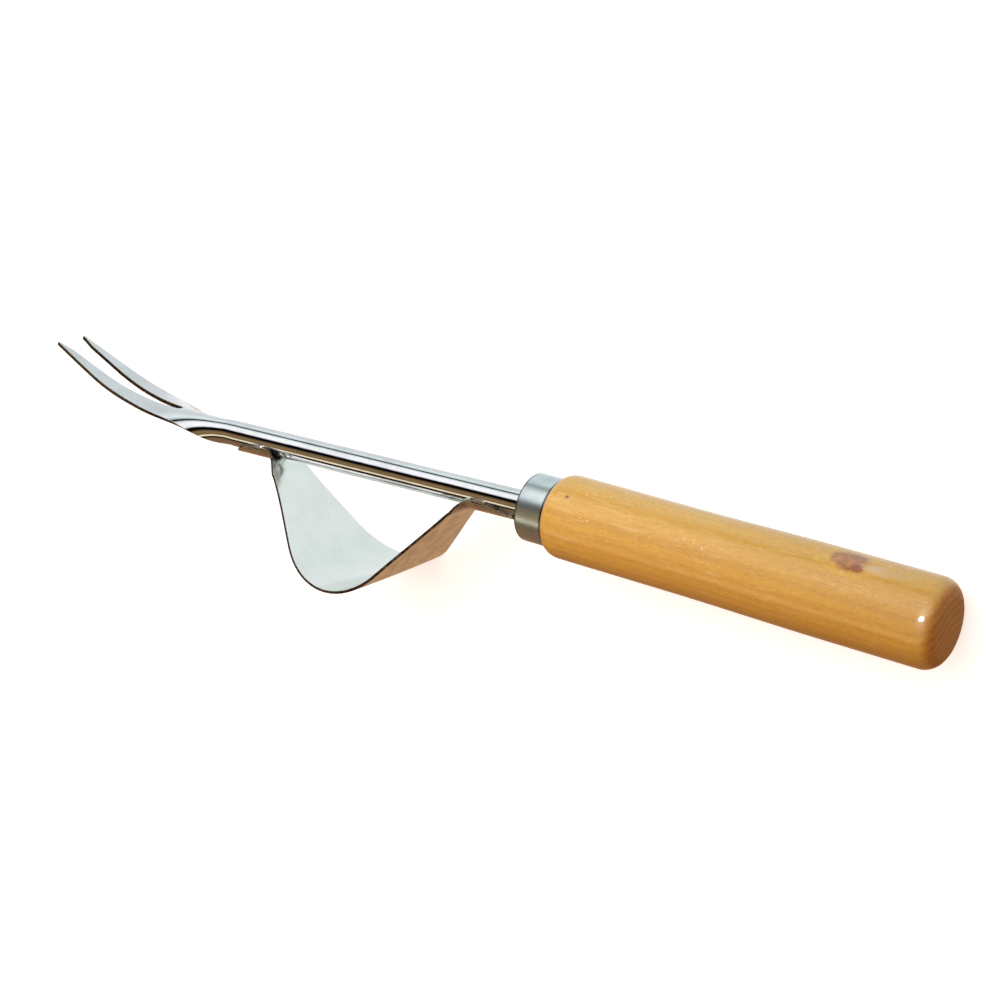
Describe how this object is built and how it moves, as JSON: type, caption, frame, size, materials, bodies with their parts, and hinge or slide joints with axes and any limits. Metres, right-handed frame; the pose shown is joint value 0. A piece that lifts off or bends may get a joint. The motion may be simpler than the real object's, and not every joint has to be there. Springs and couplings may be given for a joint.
{
  "type": "hand weeding fork",
  "caption": "Two-tined hand weeder on a rolled steel shank, with a bowed strap below it as a fulcrum and a turned wooden handle.",
  "frame": {"origin": "centre of the handle butt's flat end, on the handle's axis", "axes": "+X out of the butt along the handle, -X towards the tines, +Z the side the tines curve up to, -Z the side the strap hangs on"},
  "size_m": [0.3355, 0.0458, 0.0526],
  "materials": {
    "shank_steel": "bright plating",
    "strap_steel": "bright plating",
    "ferrule_steel": "satin turned",
    "handle_wood": "clear gloss varnish",
    "weld_steel": "plated bead",
    "adhesive": "cured resin"
  },
  "bodies": {
    "root": {"fork_shank": "shank_steel", "fulcrum_strap": "strap_steel", "ferrule": "ferrule_steel", "handle": "handle_wood", "front_welds": "weld_steel", "rear_welds": "weld_steel", "tang_adhesive": "adhesive"}
  },
  "joints": []
}
